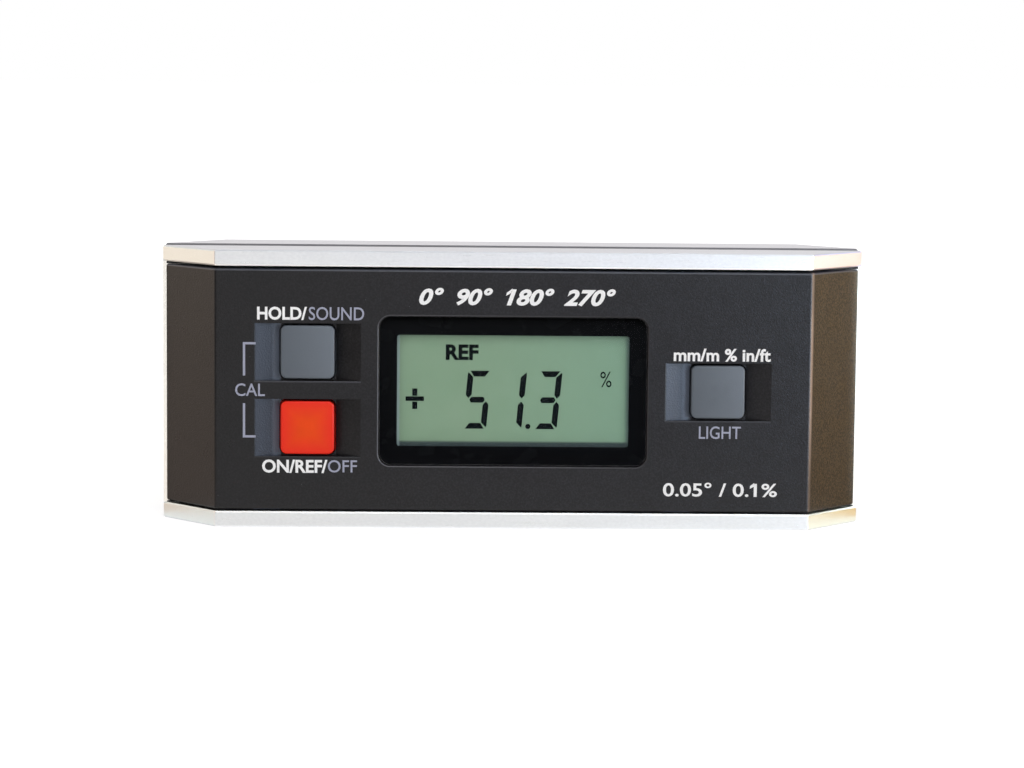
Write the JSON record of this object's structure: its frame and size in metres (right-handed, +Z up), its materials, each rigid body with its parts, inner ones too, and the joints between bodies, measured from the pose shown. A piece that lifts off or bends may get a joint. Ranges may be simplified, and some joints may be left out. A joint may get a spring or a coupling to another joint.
{
  "type": "inclinometer",
  "caption": "Digital box inclinometer: a machined frame with a V-groove along its base and top, black covers, a display behind a window, spring-return keys and a battery door behind.",
  "frame": {"origin": "middle of the base face's outline, on the surface that the object stands on", "axes": "+X along the body, to the right as the display is read; -Y out of the display; +Z up from the base face"},
  "size_m": [0.153, 0.034, 0.06],
  "materials": {
    "frame_aluminium": "satin anodised, milled faces",
    "cover_plastic": "fine moulded texture",
    "window_clear": "clear, polished",
    "mask_black": "printed black",
    "foam_black": "closed-cell foam",
    "lcd_cell": "grey-green reflective",
    "strip_rubber": "striped conductive rubber",
    "light_guide": "frosted white",
    "seal_rubber": "moulded",
    "key_grey": "satin",
    "key_red": "satin, slightly translucent",
    "switch_housing": "moulded",
    "chip_black": "moulded",
    "sensor_ceramic": "fired",
    "board_green": "solder mask",
    "capacitor_can": "drawn can",
    "contact_nickel": "nickel plated",
    "magnet_nickel": "nickel plated",
    "screw_steel": "zinc plated",
    "battery_sleeve": "plain printed sleeve",
    "lead_red": "insulated wire",
    "lead_black": "insulated wire"
  },
  "bodies": {
    "casing": {"frame": "frame_aluminium", "base_magnets": "magnet_nickel", "front_cover": "cover_plastic", "rear_cover": "cover_plastic", "cover_screws": "screw_steel", "display_window": "window_clear", "front_cover_seal": "seal_rubber", "rear_cover_seal": "seal_rubber", "window_mask": "mask_black", "display_gasket": "foam_black", "lcd_panel": "lcd_cell", "contact_strips": "strip_rubber", "backlight": "light_guide", "main_board": "board_green", "board_screws": "screw_steel", "tilt_sensor": "sensor_ceramic", "controller_chip": "chip_black", "clock_crystal": "contact_nickel", "buzzer": "chip_black", "resistors": "sensor_ceramic", "capacitors": "capacitor_can", "upper_battery": "battery_sleeve", "lower_battery": "battery_sleeve", "positive_contact": "contact_nickel", "negative_contact": "contact_nickel", "bridge_contact": "contact_nickel", "battery_springs": "contact_nickel", "positive_lead": "lead_red", "negative_lead": "lead_black", "door_seal": "seal_rubber", "hold_key_seal": "seal_rubber", "power_key_seal": "seal_rubber", "units_key_seal": "seal_rubber", "hold_switch": "switch_housing", "power_switch": "switch_housing", "units_switch": "switch_housing"},
    "hold_key": {"hold_button": "key_grey", "hold_plunger": "chip_black"},
    "power_key": {"power_button": "key_red", "power_plunger": "chip_black"},
    "units_key": {"units_button": "key_grey", "units_plunger": "chip_black"},
    "door": {"battery_door": "cover_plastic", "door_screws": "screw_steel", "battery_pad": "foam_black"}
  },
  "joints": [
    {"name": "hold_press", "type": "slide", "parent": "casing", "child": "hold_key", "axis": [0, 1, 0], "range_m": [0, 0.0006], "stiffness_N_per_m": 2500, "springref_m": -0.0002},
    {"name": "power_press", "type": "slide", "parent": "casing", "child": "power_key", "axis": [0, 1, 0], "range_m": [0, 0.0006], "stiffness_N_per_m": 2500, "springref_m": -0.0002},
    {"name": "units_press", "type": "slide", "parent": "casing", "child": "units_key", "axis": [0, 1, 0], "range_m": [0, 0.0006], "stiffness_N_per_m": 2500, "springref_m": -0.0002},
    {"name": "door_release", "type": "slide", "parent": "casing", "child": "door", "axis": [0, 1, 0], "range_m": [0, 0.03]}
  ]
}
